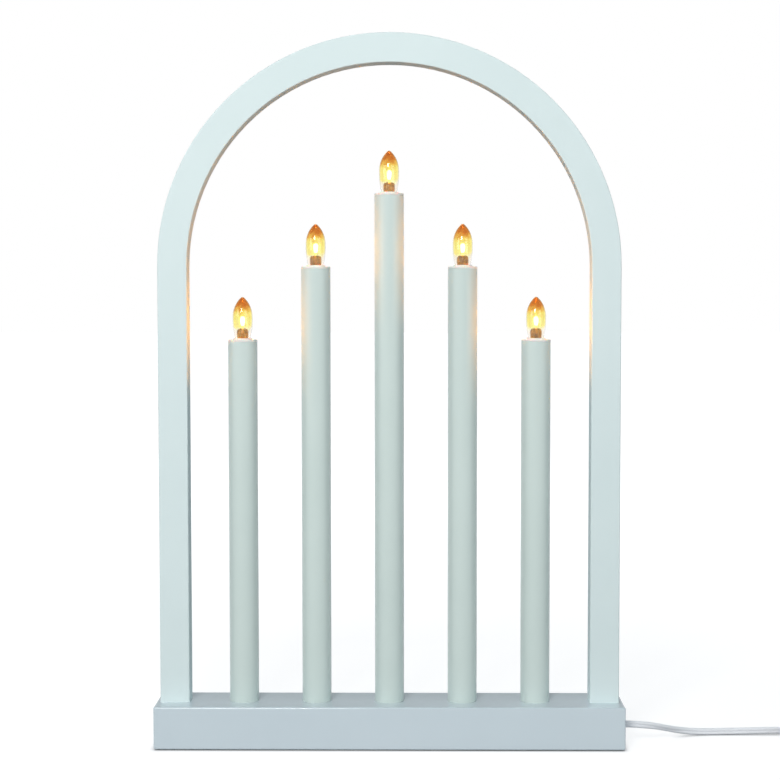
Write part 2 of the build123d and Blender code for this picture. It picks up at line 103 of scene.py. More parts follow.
def makeCamera():
    data = bpy.data.cameras.new("studioCamera")
    camera = bpy.data.objects.new("studioCamera", data)
    scene.collection.objects.link(camera)
    turn = Matrix.Rotation(math.radians(cameraSet["turn"]), 4, "Z")
    tilt = Matrix.Rotation(math.radians(cameraSet["tilt"]), 4, "X")
    roll = Matrix.Rotation(math.radians(cameraSet["roll"]), 4, "Z")
    camera.matrix_world = Matrix.Translation(cameraSet["place"]) @ turn @ tilt @ roll
    data.sensor_width = cameraSet["sensor"]
    data.lens = cameraSet["lens"]
    data.clip_end = cameraSet["reach"]
    scene.camera = camera


makeCamera()
print("camera set")

# mains lead: the route's points, then the coil's turns, then the tail to the plug
leadSet = {
    "start": [(0.160, 0.0, 0.0132), (0.177, 0.0, 0.0132), (0.207, 0.0205, 0.00245), (0.238, 0.0225, 0.00245),
              (0.282, 0.0225, 0.00345)],
    "tail": [(0.306, 0.0225, 0.00875), (0.324, 0.0225, 0.00875), (0.344, 0.004, 0.0069),
             (0.364, 0.004, 0.0069)],
    "coilMiddle": (0.306, -0.009),
    "coilRadius": 0.0315,
    "coilPitch": 0.0031,
    "turnsPerLayer": 4,
    "lowLayer": 0.00345,
    "highLayer": 0.00875,
    "pointsPerHalf": 12,
    "lobeRadius": 0.00125,
    "lobeShift": 0.00115,
    "grooveHalf": 0.0004,
    "grooveDepth": 0.0003,
    "lobeSteps": 9,
    "rollFrom": 0.172,
    "rollTo": 0.212,
    "rollMost": 34.0,
    "length": 1.4885,
    "width": 0.0048,
    "routeSteps": 5,
    "smoothAngle": 60,
}


def coilHalf(radius, shift, right, low, high):
    middleX, middleY = leadSet["coilMiddle"]
    points = []
    for step in range(leadSet["pointsPerHalf"]):
        share = step / leadSet["pointsPerHalf"]
        angle = math.pi * share
        across = right * radius * math.sin(angle)
        along = right * radius * math.cos(angle)
        points.append((middleX + across, middleY + shift + along, low + (high - low) * share))
    return points


def coilPoints():
    low, high, pitch = leadSet["lowLayer"], leadSet["highLayer"], leadSet["coilPitch"]
    halves = 2 * leadSet["turnsPerLayer"]
    points = []
    right = 1
    for half in range(halves):
        shift = 0.0 if right > 0 else -pitch / 2
        points += coilHalf(leadSet["coilRadius"] - half * pitch / 2, shift, right, low, low)
        right = -right
    points += coilHalf(leadSet["coilRadius"] - halves * pitch / 2, 0.0, 1, low, high)
    right = -1
    for half in range(halves - 1, 0, -1):
        shift = 0.0 if right > 0 else pitch / 2
        points += coilHalf(leadSet["coilRadius"] - half * pitch / 2, shift, right, high, high)
        right = -right
    return points


def routeLine(points):
    data = bpy.data.curves.new("leadRoute", "CURVE")
    data.dimensions = "3D"
    data.resolution_u = leadSet["routeSteps"]
    addSpline(data, points)
    holder = bpy.data.objects.new("leadRoute", data)
    scene.collection.objects.link(holder)
    bpy.context.view_layer.update()
    line = bpy.data.meshes.new_from_object(holder)
    places = [v.co.copy() for v in line.vertices]
    bpy.data.meshes.remove(line)
    bpy.data.objects.remove(holder)
    bpy.data.curves.remove(data)
    return places


def flexOutline():
    outline = []
    for side in (1, -1):
        for step in range(leadSet["lobeSteps"]):
            angle = math.pi / 2 * (1 - 2 * step / (leadSet["lobeSteps"] - 1))
            up = leadSet["lobeShift"] + leadSet["lobeRadius"] * math.cos(angle)
            outline.append((side * up, side * leadSet["lobeRadius"] * math.sin(angle)))
        flat, deep = leadSet["lobeRadius"], leadSet["lobeRadius"] - leadSet["grooveDepth"]
        for up, out in ((leadSet["grooveHalf"], flat), (0.0, deep), (-leadSet["grooveHalf"], flat)):
            outline.append((side * up, -side * out))
    return outline


def rollAt(x):
    share = (x - leadSet["rollFrom"]) / (leadSet["rollTo"] - leadSet["rollFrom"])
    if not 0 < share < 1:
        return 0.0
    return math.radians(leadSet["rollMost"]) * (1 - math.cos(2 * math.pi * share)) / 2


def makeLead():
    path = routeLine(leadSet["start"] + coilPoints() + leadSet["tail"])
    outline = flexOutline()
    count = len(outline)
    verts, faces = [], []
    for i, place in enumerate(path):
        ahead = (path[min(i + 1, len(path) - 1)] - path[max(i - 1, 0)]).normalized()
        up = (Vector((0, 0, 1)) - ahead * ahead.z).normalized()
        up.rotate(Matrix.Rotation(rollAt(place.x), 3, ahead))
        side = ahead.cross(up)
        verts += [place + up * high + side * wide for high, wide in outline]
        if i:
            old, new = (i - 1) * count, i * count
            faces += [(old + k, old + (k + 1) % count, new + (k + 1) % count, new + k) for k in range(count)]
    faces.append(tuple(range(count)))
    faces.append(tuple(range((len(path) - 1) * count, len(path) * count)))
    mesh = bpy.data.meshes.new("mainsLead")
    mesh.from_pydata(verts, [], faces)
    lead = bpy.data.objects.new("mainsLead", mesh)
    scene.collection.objects.link(lead)
    tidyShell(lead, leadSet["smoothAngle"])
    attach(lead, "stand")
    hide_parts("cord_free", "cord_coil", "cord_tail")
    return lead, path


mainsLead, leadPath = makeLead()
print("lead laid:", len(leadPath), "points")

# flat two-pin plug
plugSet = {
    "rear": 0.364, "sleeveEnd": 0.384, "face": 0.421, "front": 0.009,
    "middleY": 0.004, "middleZ": 0.0069, "width": 0.0353, "thickness": 0.0137, "chamfer": 0.0047,
    "taper": [(0.0062, 0.97, 0.985), (0.0085, 0.83, 0.93), (0.0065, 0.75, 0.91), (0.0068, 0.72, 0.93)],
    "edgeRound": 0.0008, "faceInset": 0.0022, "faceSink": 0.0004,
    "sleeveRear": (0.00215, 0.0033), "sleeveFront": (0.00345, 0.0046), "ribWidth": 0.0012, "ribGap": 0.0026,
    "ribSlope": 0.0002, "grooveDepth": 0.62, "sleeveSides": 32,
    "chamferSteps": 2, "chamferProfile": 0.62, "roundSteps": 3, "roundAngle": 20, "smoothAngle": 40,
}


facing = 0.9  # how far a face's normal lies along an axis when it faces that way


def pickFaces(mesh, wanted):
    bpy.ops.mesh.select_all(action="DESELECT")
    bpy.ops.object.mode_set(mode="OBJECT")
    for face in mesh.polygons:
        face.select = wanted(face)
    bpy.ops.object.mode_set(mode="EDIT")


def pickEdges(mesh, wanted):
    bpy.ops.mesh.select_mode(type="EDGE")
    bpy.ops.mesh.select_all(action="DESELECT")
    bpy.ops.object.mode_set(mode="OBJECT")
    for edge in mesh.edges:
        first, second = (mesh.vertices[v].co for v in edge.vertices)
        edge.select = wanted(first, second)
    bpy.ops.object.mode_set(mode="EDIT")


def makePlugSleeve():
    middle = (plugSet["middleY"], plugSet["middleZ"])
    rings = [(plugSet["rear"], 1.0)]
    place = plugSet["rear"] + plugSet["ribWidth"]
    while place + plugSet["ribWidth"] < plugSet["sleeveEnd"] - plugSet["ribWidth"]:
        slope, ribEnd = plugSet["ribSlope"], place + plugSet["ribWidth"]
        rings += [(place, 1.0), (place + slope, plugSet["grooveDepth"])]
        rings += [(ribEnd - slope, plugSet["grooveDepth"]), (ribEnd, 1.0)]
        place += plugSet["ribGap"]
    rings.append((plugSet["sleeveEnd"] + plugSet["ribWidth"], 1.0))
    clearSelection()
    bpy.ops.mesh.primitive_circle_add(vertices=plugSet["sleeveSides"], radius=1.0, fill_type="NGON",
                                      location=(plugSet["rear"], *middle), rotation=(0, math.pi / 2, 0))
    sleeve = bpy.context.object
    sleeve.name = "plugSleeve"
    bpy.ops.object.transform_apply(location=True, rotation=True, scale=True)
    bpy.ops.object.mode_set(mode="EDIT")
    bpy.ops.mesh.select_all(action="SELECT")

    def halves(x, depth):
        share = min((x - plugSet["rear"]) / (plugSet["sleeveEnd"] - plugSet["rear"]), 1.0)
        return [(a + (b - a) * share) * depth for a, b in zip(plugSet["sleeveRear"], plugSet["sleeveFront"])]

    now = (1.0, 1.0)
    for number, (x, depth) in enumerate(rings):
        if number:
            move = x - rings[number - 1][0]
            bpy.ops.mesh.extrude_region_move(TRANSFORM_OT_translate={"value": (move, 0, 0)})
        aim = halves(x, depth)
        bpy.ops.transform.resize(value=(1, aim[0] / now[0], aim[1] / now[1]), center_override=(x, *middle))
        now = aim
    bpy.ops.object.mode_set(mode="OBJECT")
    return sleeve


def makePlug():
    middle = (plugSet["middleY"], plugSet["middleZ"])
    clearSelection()
    bpy.ops.mesh.primitive_cube_add(size=1, location=(plugSet["face"] - plugSet["front"] / 2, *middle),
                                    scale=(plugSet["front"], plugSet["width"], plugSet["thickness"]))
    plug = bpy.context.object
    plug.name = "plugShell"
    bpy.ops.object.transform_apply(location=True, rotation=True, scale=True)
    bpy.ops.object.mode_set(mode="EDIT")
    pickEdges(plug.data, lambda a, b: abs(a.x - b.x) > plugSet["front"] / 2)
    bpy.ops.mesh.bevel(offset=plugSet["chamfer"], segments=plugSet["chamferSteps"],
                       profile=plugSet["chamferProfile"])
    bpy.ops.mesh.select_mode(type="FACE")
    pickFaces(plug.data, lambda face: face.normal.x < -facing)
    x = plugSet["face"] - plugSet["front"]
    for step, wide, high in plugSet["taper"]:
        x -= step
        bpy.ops.mesh.extrude_region_move(TRANSFORM_OT_translate={"value": (-step, 0, 0)})
        bpy.ops.transform.resize(value=(1, wide, high), center_override=(x, *middle))
    pickFaces(plug.data, lambda face: face.normal.x > facing)
    bpy.ops.mesh.inset(thickness=plugSet["faceInset"])
    bpy.ops.mesh.extrude_region_move(TRANSFORM_OT_translate={"value": (-plugSet["faceSink"], 0, 0)})
    bpy.ops.object.mode_set(mode="OBJECT")
    edge = plug.modifiers.new("edgeRound", "BEVEL")
    edge.width = plugSet["edgeRound"]
    edge.segments = plugSet["roundSteps"]
    edge.limit_method = "ANGLE"
    edge.angle_limit = math.radians(plugSet["roundAngle"])
    applyAll(plug)
    joinInto(plug, makePlugSleeve())
    tidyShell(plug, plugSet["smoothAngle"])
    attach(plug, "stand")
    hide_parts("plug_body")
    return plug


plugShell = makePlug()
print("plug made")

# strap that ties the coil
strapSet = {
    "round": 0.0014, "roundSteps": 5, "thickness": 0.0007,
    "lapStart": 0.30, "lapEnd": 0.88, "lapRise": 0.0005, "lapLift": 0.9, "lapWidth": 0.86, "lapSteps": 4,
    "edge": 0.00018, "edgeSteps": 2, "edgeAngle": 40, "smoothAngle": 35,
}


def makeStrap():
    low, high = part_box("coil_tie")
    middle, size = (low + high) / 2, high - low
    clearSelection()
    bpy.ops.mesh.primitive_cube_add(size=1, location=middle, scale=size)
    strap = bpy.context.object
    strap.name = "coilStrap"
    bpy.ops.object.transform_apply(location=True, rotation=True, scale=True)
    bpy.ops.object.mode_set(mode="EDIT")
    pickEdges(strap.data, lambda a, b: abs(a.y - b.y) > size.y / 2)
    bpy.ops.mesh.bevel(offset=strapSet["round"], segments=strapSet["roundSteps"])
    bpy.ops.mesh.select_mode(type="FACE")
    pickFaces(strap.data, lambda face: abs(face.normal.y) > facing)
    bpy.ops.mesh.delete(type="FACE")
    bpy.ops.object.mode_set(mode="OBJECT")
    wall = strap.modifiers.new("wall", "SOLIDIFY")
    wall.thickness = strapSet["thickness"]
    wall.offset = -1
    applyAll(strap)
    # the strap's free end, lapped over itself on the outer side
    lapLow = low.z + size.z * strapSet["lapStart"]
    lapHigh = low.z + size.z * strapSet["lapEnd"]
    clearSelection()
    bpy.ops.mesh.primitive_cube_add(
        size=1, location=(high.x - strapSet["lapRise"] / 2, middle.y, (lapLow + lapHigh) / 2),
        scale=(strapSet["lapRise"], size.y * strapSet["lapWidth"], lapHigh - lapLow))
    lap = bpy.context.object
    bpy.ops.object.transform_apply(location=True, rotation=True, scale=True)
    lap.data.transform(Matrix.Translation((strapSet["lapRise"] * strapSet["lapLift"], 0, 0)))
    bpy.ops.object.mode_set(mode="EDIT")
    pickEdges(lap.data, lambda a, b: abs(a.x - b.x) > strapSet["lapRise"] / 2)
    bpy.ops.mesh.bevel(offset=strapSet["round"], segments=strapSet["lapSteps"])
    bpy.ops.object.mode_set(mode="OBJECT")
    joinInto(strap, lap)
    edge = strap.modifiers.new("edge", "BEVEL")
    edge.width = strapSet["edge"]
    edge.segments = strapSet["edgeSteps"]
    edge.limit_method = "ANGLE"
    edge.angle_limit = math.radians(strapSet["edgeAngle"])
    applyAll(strap)
    bpy.ops.object.shade_smooth_by_angle(angle=math.radians(strapSet["smoothAngle"]))
    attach(strap, "stand")
    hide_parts("coil_tie")
    return strap


coilStrap = makeStrap()

# inside of a bulb: glass stem, lead wires and a coiled filament, heights from the candle's top
bulbSet = {
    "candles": [(-0.100, 0.2782), (-0.050, 0.3277), (0.0, 0.3772), (0.050, 0.3277), (0.100, 0.2782)],
    "stemRings": [(0.0026, -0.0046), (0.0028, -0.0022), (0.0036, 0.0004), (0.0039, 0.0020), (0.0040, 0.0046),
                  (0.0039, 0.0063), (0.0032, 0.0073), (0.0019, 0.0077)],
    "stemSides": 32,
    "pinchFrom": 0.0070,
    "pinch": 0.72,
    "wireRadius": 0.00016,
    "wireFoot": (0.0011, -0.0102),
    "wireNeck": (0.0012, -0.0030),
    "wireOut": (0.0010, 0.0062),
    "wireTop": (0.0015, 0.0098),
    "filamentHalf": 0.0009,
    "filamentSpread": -0.0004,
    "filamentFoot": 0.0095,
    "filamentCrown": 0.0142,
    "filamentRadius": 0.00085,
    "filamentTaper": 0.0020,
    "filamentWire": 0.00013,
    "filamentPitch": 0.00042,
    "filamentSwell": 0.45,
    "pointsPerTurn": 10,
    "wireSides": 1,
    "wireSteps": 3,
    "smoothAngle": 60,
}


def wireAlong(name, points, radius):
    data = bpy.data.curves.new(name, "CURVE")
    data.dimensions = "3D"
    data.bevel_depth = radius
    data.bevel_resolution = bulbSet["wireSides"]
    data.use_fill_caps = True
    data.resolution_u = bulbSet["wireSteps"]
    addSpline(data, points)
    piece = bpy.data.objects.new(name, data)
    scene.collection.objects.link(piece)
    pickOnly(piece)
    bpy.ops.object.convert(target="MESH")
    return bpy.context.object


def makeStem():
    rings = bulbSet["stemRings"]
    clearSelection()
    bpy.ops.mesh.primitive_circle_add(vertices=bulbSet["stemSides"], radius=rings[0][0], fill_type="NGON",
                                      location=(0, 0, rings[0][1]))
    stem = bpy.context.object
    stem.name = "bulbStem"
    bpy.ops.object.transform_apply(location=True, rotation=True, scale=True)
    bpy.ops.object.mode_set(mode="EDIT")
    bpy.ops.mesh.select_all(action="SELECT")
    for (oldRadius, oldHeight), (radius, height) in zip(rings, rings[1:]):
        bpy.ops.mesh.extrude_region_move(TRANSFORM_OT_translate={"value": (0, 0, height - oldHeight)})
        grow = radius / oldRadius
        flat = bulbSet["pinch"] if oldHeight < bulbSet["pinchFrom"] <= height else 1.0
        bpy.ops.transform.resize(value=(grow, grow * flat, 1), center_override=(0, 0, height))
    bpy.ops.object.mode_set(mode="OBJECT")
    tidyShell(stem, bulbSet["smoothAngle"])
    smooth = stem.modifiers.new("smooth", "SUBSURF")
    smooth.levels = smooth.render_levels = 1
    applyAll(stem)
    return stem


def makeLeadWires():
    wires = []
    for side in (-1, 1):
        bends = [bulbSet[name] for name in ("wireFoot", "wireNeck", "wireOut", "wireTop")]
        points = [(side * x, 0.0, z) for x, z in bends]
        wires.append(wireAlong("bulbWire", points, bulbSet["wireRadius"]))
    return wires


def filamentPoints():
    half, foot, crown = bulbSet["filamentHalf"], bulbSet["filamentFoot"], bulbSet["filamentCrown"]
    spread = bulbSet["filamentSpread"]
    leg = crown - foot
    total = 2 * leg + math.pi * half
    count = int(total / bulbSet["filamentPitch"] * bulbSet["pointsPerTurn"])
    points = []
    for step in range(count + 1):
        run = total * step / count
        if run < leg:
            middle, outward = Vector((-half - spread * (1 - run / leg), 0, foot + run)), Vector((-1, 0, 0))
        elif run > total - leg:
            down = total - run
            middle, outward = Vector((half + spread * (1 - down / leg), 0, foot + down)), Vector((1, 0, 0))
        else:
            angle = math.pi - (run - leg) / half
            outward = Vector((math.cos(angle), 0, math.sin(angle)))
            middle = Vector((0, 0, crown)) + outward * half
        swing = 2 * math.pi * step / bulbSet["pointsPerTurn"]
        across = outward * math.cos(swing) + Vector((0, 1, 0)) * math.sin(swing)
        fromEnd = min(run, total - run)
        swell = min(1.0, bulbSet["filamentSwell"] + fromEnd / bulbSet["filamentTaper"])
        points.append(middle + across * bulbSet["filamentRadius"] * swell)
    return points


def copyTo(pattern, name, shift, body):
    mesh = pattern.data.copy()
    mesh.transform(Matrix.Translation(shift))
    piece = bpy.data.objects.new(name, mesh)
    scene.collection.objects.link(piece)
    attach(piece, body)
    return piece


stemPattern = makeStem()
wirePattern = joinInto(*makeLeadWires())
filamentPattern = wireAlong("bulbFilament", filamentPoints(), bulbSet["filamentWire"])
bulbStems, bulbWires, bulbFilaments = [], [], []
for number, (candleX, candleTop) in enumerate(bulbSet["candles"], 1):
    shift, body = (candleX, 0.0, candleTop), f"bulb_{number}_cap"
    stem = copyTo(stemPattern, f"bulbStem_{number}", shift, body)
    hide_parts(f"bulb_mount_{number}")
    bulbStems.append(stem)
    bulbWires.append(copyTo(wirePattern, f"bulbWires_{number}", shift, body))
    bulbFilaments.append(copyTo(filamentPattern, f"bulbFilament_{number}", shift, body))
for pattern in (stemPattern, wirePattern, filamentPattern):
    bpy.data.objects.remove(pattern)
print("bulbs filled:", len(bulbStems))

# shared effects
effectSet = {
    "drift": {"detail": 4.0, "grit": 0.55, "low": 0.32, "high": 0.68},
    "grain": {"detail": 3.0, "grit": 0.6},
    "smear": {"detail": 5.0, "grit": 0.6},
    "streak": {"detail": 2.0, "grit": 0.5, "low": 0.7, "high": 1.3, "squeeze": (1.0, 1.0, 0.06),
               "finer": 14.0},
    "fibre": {"detail": 6.0, "grit": 0.7, "twist": 0.6, "low": 0.3, "high": 0.7},
    "waver": {"detail": 2.0, "grit": 0.5, "low": 0.25, "high": 0.75},
}
vectorKind, floatKind, colourKind = "NodeSocketVector", "NodeSocketFloat", "NodeSocketColor"


def startGroup(name, inputs, outputs):
    group = bpy.data.node_groups.new(name, "ShaderNodeTree")
    for label, kind in inputs:
        group.interface.new_socket(label, in_out="INPUT", socket_type=kind)
    for label, kind in outputs:
        group.interface.new_socket(label, in_out="OUTPUT", socket_type=kind)
    return group, group.nodes.new("NodeGroupInput"), group.nodes.new("NodeGroupOutput")


def noiseNode(group, look):
    node = group.nodes.new("ShaderNodeTexNoise")
    node.inputs["Detail"].default_value = look["detail"]
    node.inputs["Roughness"].default_value = look["grit"]
    return node


def rangeNode(group, fromLow, fromHigh, low=0.0, high=1.0):
    node = group.nodes.new("ShaderNodeMapRange")
    for label, value in (("From Min", fromLow), ("From Max", fromHigh), ("To Min", low), ("To Max", high)):
        node.inputs[label].default_value = value
    return node


def mathNode(group, operation, second=None):
    node = group.nodes.new("ShaderNodeMath")
    node.operation = operation
    if second is not None:
        node.inputs[1].default_value = second
    return node


def colourMix(group, blend="MIX"):
    node = group.nodes.new("ShaderNodeMix")
    node.data_type = "RGBA"
    node.blend_type = blend
    return node.inputs[0], node.inputs[6], node.inputs[7], node.outputs[2]


def makeToneDrift():
    look = effectSet["drift"]
    group, entry, leave = startGroup("toneDrift", [
        ("Place", vectorKind), ("Scale", floatKind), ("First", colourKind), ("Second", colourKind)],
        [("Colour", colourKind)])
    link = group.links.new
    noise = noiseNode(group, look)
    spread = rangeNode(group, look["low"], look["high"])
    factor, first, second, result = colourMix(group)
    link(entry.outputs["Place"], noise.inputs["Vector"])
    link(entry.outputs["Scale"], noise.inputs["Scale"])
    link(noise.outputs[0], spread.inputs["Value"])
    link(spread.outputs[0], factor)
    link(entry.outputs["First"], first)
    link(entry.outputs["Second"], second)
    link(result, leave.inputs["Colour"])
    return group


def makeFineGrain():
    group, entry, leave = startGroup("fineGrain", [
        ("Place", vectorKind), ("Scale", floatKind), ("Speckle", floatKind)],
        [("Height", floatKind)])
    link = group.links.new
    noise = noiseNode(group, effectSet["grain"])
    cells = group.nodes.new("ShaderNodeTexVoronoi")
    cells.feature = "SMOOTH_F1"
    part = mathNode(group, "MULTIPLY")
    total = mathNode(group, "ADD")
    link(entry.outputs["Place"], noise.inputs["Vector"])
    link(entry.outputs["Scale"], noise.inputs["Scale"])
    link(entry.outputs["Place"], cells.inputs["Vector"])
    link(entry.outputs["Scale"], cells.inputs["Scale"])
    link(cells.outputs["Distance"], part.inputs[0])
    link(entry.outputs["Speckle"], part.inputs[1])
    link(noise.outputs[0], total.inputs[0])
    link(part.outputs[0], total.inputs[1])
    link(total.outputs[0], leave.inputs["Height"])
    return group


def makeHandlingMarks():
    look = effectSet["streak"]
    group, entry, leave = startGroup("handlingMarks", [
        ("Place", vectorKind), ("Scale", floatKind), ("Low", floatKind), ("High", floatKind)],
        [("Roughness", floatKind)])
    link = group.links.new
    smear = noiseNode(group, effectSet["smear"])
    streakPlace = group.nodes.new("ShaderNodeMapping")
    streakPlace.inputs["Scale"].default_value = look["squeeze"]
    streaks = noiseNode(group, look)
    streakScale = mathNode(group, "MULTIPLY", look["finer"])
    blend = mathNode(group, "ADD")
    spread = rangeNode(group, look["low"], look["high"])
    link(entry.outputs["Place"], smear.inputs["Vector"])
    link(entry.outputs["Scale"], smear.inputs["Scale"])
    link(entry.outputs["Place"], streakPlace.inputs["Vector"])
    link(streakPlace.outputs[0], streaks.inputs["Vector"])
    link(entry.outputs["Scale"], streakScale.inputs[0])
    link(streakScale.outputs[0], streaks.inputs["Scale"])
    link(smear.outputs[0], blend.inputs[0])
    link(streaks.outputs[0], blend.inputs[1])
    link(blend.outputs[0], spread.inputs["Value"])
    link(entry.outputs["Low"], spread.inputs["To Min"])
    link(entry.outputs["High"], spread.inputs["To Max"])
    link(spread.outputs[0], leave.inputs["Roughness"])
    return group


def makeFibreGrain():
    look = effectSet["fibre"]
    group, entry, leave = startGroup("fibreGrain", [
        ("Place", vectorKind), ("Scale", floatKind), ("Stretch", vectorKind), ("First", colourKind),
        ("Second", colourKind)], [("Colour", colourKind), ("Height", floatKind)])
    link = group.links.new
    stretch = group.nodes.new("ShaderNodeVectorMath")
    stretch.operation = "MULTIPLY"
    noise = noiseNode(group, look)
    noise.inputs["Distortion"].default_value = look["twist"]
    spread = rangeNode(group, look["low"], look["high"])
    factor, first, second, result = colourMix(group)
    link(entry.outputs["Place"], stretch.inputs[0])
    link(entry.outputs["Stretch"], stretch.inputs[1])
    link(stretch.outputs[0], noise.inputs["Vector"])
    link(entry.outputs["Scale"], noise.inputs["Scale"])
    link(noise.outputs[0], spread.inputs["Value"])
    link(spread.outputs[0], factor)
    link(entry.outputs["First"], first)
    link(entry.outputs["Second"], second)
    link(result, leave.inputs["Colour"])
    link(spread.outputs[0], leave.inputs["Height"])
    return group


# painted glow: the bulb glass's colour runs from pale near the candle's top through yellow to amber towards
# the tip, standing in for the warm light of the lit filament
paintedGlowSet = {"reach": 0.0295, "waver": 0.13, "waverScale": 210.0,
            "stops": [(0.0, (0.96, 0.93, 0.90)), (0.20, (0.97, 0.93, 0.86)), (0.31, (0.98, 0.92, 0.52)),
                      (0.58, (0.98, 0.91, 0.46)), (0.69, (0.94, 0.72, 0.30)), (0.78, (0.82, 0.46, 0.17)),
                      (1.0, (0.70, 0.33, 0.12))]}


def makePaintedGlowTint():
    look = effectSet["waver"]
    group, entry, leave = startGroup("paintedGlowTint", [("Place", vectorKind)], [("Colour", colourKind)])
    link = group.links.new
    split = group.nodes.new("ShaderNodeSeparateXYZ")
    rise = rangeNode(group, 0.0, paintedGlowSet["reach"])
    noise = noiseNode(group, look)
    noise.inputs["Scale"].default_value = paintedGlowSet["waverScale"]
    waver = rangeNode(group, look["low"], look["high"], -paintedGlowSet["waver"], paintedGlowSet["waver"])
    total = mathNode(group, "ADD")
    ramp = group.nodes.new("ShaderNodeValToRGB")
    stops = ramp.color_ramp.elements
    while len(stops) < len(paintedGlowSet["stops"]):
        stops.new(0.5)
    for stop, (place, colour) in zip(stops, paintedGlowSet["stops"]):
        stop.position = place
        stop.color = (*colour, 1.0)
    link(entry.outputs["Place"], split.inputs[0])
    link(entry.outputs["Place"], noise.inputs["Vector"])
    link(split.outputs["Z"], rise.inputs["Value"])
    link(noise.outputs[0], waver.inputs["Value"])
    link(rise.outputs[0], total.inputs[0])
    link(waver.outputs[0], total.inputs[1])
    link(total.outputs[0], ramp.inputs[0])
    link(ramp.outputs[0], leave.inputs["Colour"])
    return group


toneDrift, fineGrain, handlingMarks = makeToneDrift(), makeFineGrain(), makeHandlingMarks()
fibreGrain, paintedGlowTint = makeFibreGrain(), makePaintedGlowTint()
print("shared effects built")


# finishes
def newMaterial(name):
    material = bpy.data.materials.new(name)
    material.use_nodes = True
    tree = material.node_tree
    tree.nodes.clear()
    out = tree.nodes.new("ShaderNodeOutputMaterial")
    skin = tree.nodes.new("ShaderNodeBsdfPrincipled")
    tree.links.new(skin.outputs[0], out.inputs["Surface"])
    return material, tree, skin


def addGroup(tree, group, place, **values):
    node = tree.nodes.new("ShaderNodeGroup")
    node.node_tree = group
    tree.links.new(place, node.inputs["Place"])
    for label, value in values.items():
        node.inputs[label].default_value = (*value, 1.0) if label in ("First", "Second") else value
    return node


def addBump(tree, skin, height, strength, distance):
    bump = tree.nodes.new("ShaderNodeBump")
    bump.inputs["Strength"].default_value = strength
    bump.inputs["Distance"].default_value = distance
    tree.links.new(height, bump.inputs["Height"])
    tree.links.new(bump.outputs[0], skin.inputs["Normal"])


def placeOf(tree):
    return tree.nodes.new("ShaderNodeTexCoord").outputs["Object"]


plainLook = {"speckle": 0.3, "marks": 30.0, "depth": 0.0002, "metallic": 0.0, "ior": 1.45, "specular": 0.5,
             "coat": 0.0, "coatRough": 0.1, "sheen": 0.0, "subsurface": 0.0, "subsurfaceScale": 0.001}
skinSockets = {"metallic": "Metallic", "ior": "IOR", "specular": "Specular IOR Level", "coat": "Coat Weight",
               "coatRough": "Coat Roughness", "sheen": "Sheen Weight", "subsurface": "Subsurface Weight",
               "subsurfaceScale": "Subsurface Scale"}


def makeFinish(name, ownLook):
    look = {**plainLook, **ownLook}
    material, tree, skin = newMaterial(name)
    place = placeOf(tree)
    if "stretch" in look:
        tone = addGroup(tree, fibreGrain, place, Scale=look["drift"], Stretch=look["stretch"],
                        First=look["first"], Second=look["second"])
        height = tone.outputs["Height"]
    else:
        tone = addGroup(tree, toneDrift, place, Scale=look["drift"], First=look["first"],
                        Second=look["second"])
        grain = addGroup(tree, fineGrain, place, Scale=look["grain"], Speckle=look["speckle"])
        height = grain.outputs["Height"]
    marks = addGroup(tree, handlingMarks, place, Scale=look["marks"], Low=look["rough"][0],
                     High=look["rough"][1])
    tree.links.new(tone.outputs["Colour"], skin.inputs["Base Color"])
    tree.links.new(marks.outputs["Roughness"], skin.inputs["Roughness"])
    addBump(tree, skin, height, look["bump"], look["depth"])
    for key, socket in skinSockets.items():
        skin.inputs[socket].default_value = look[key]
    return material


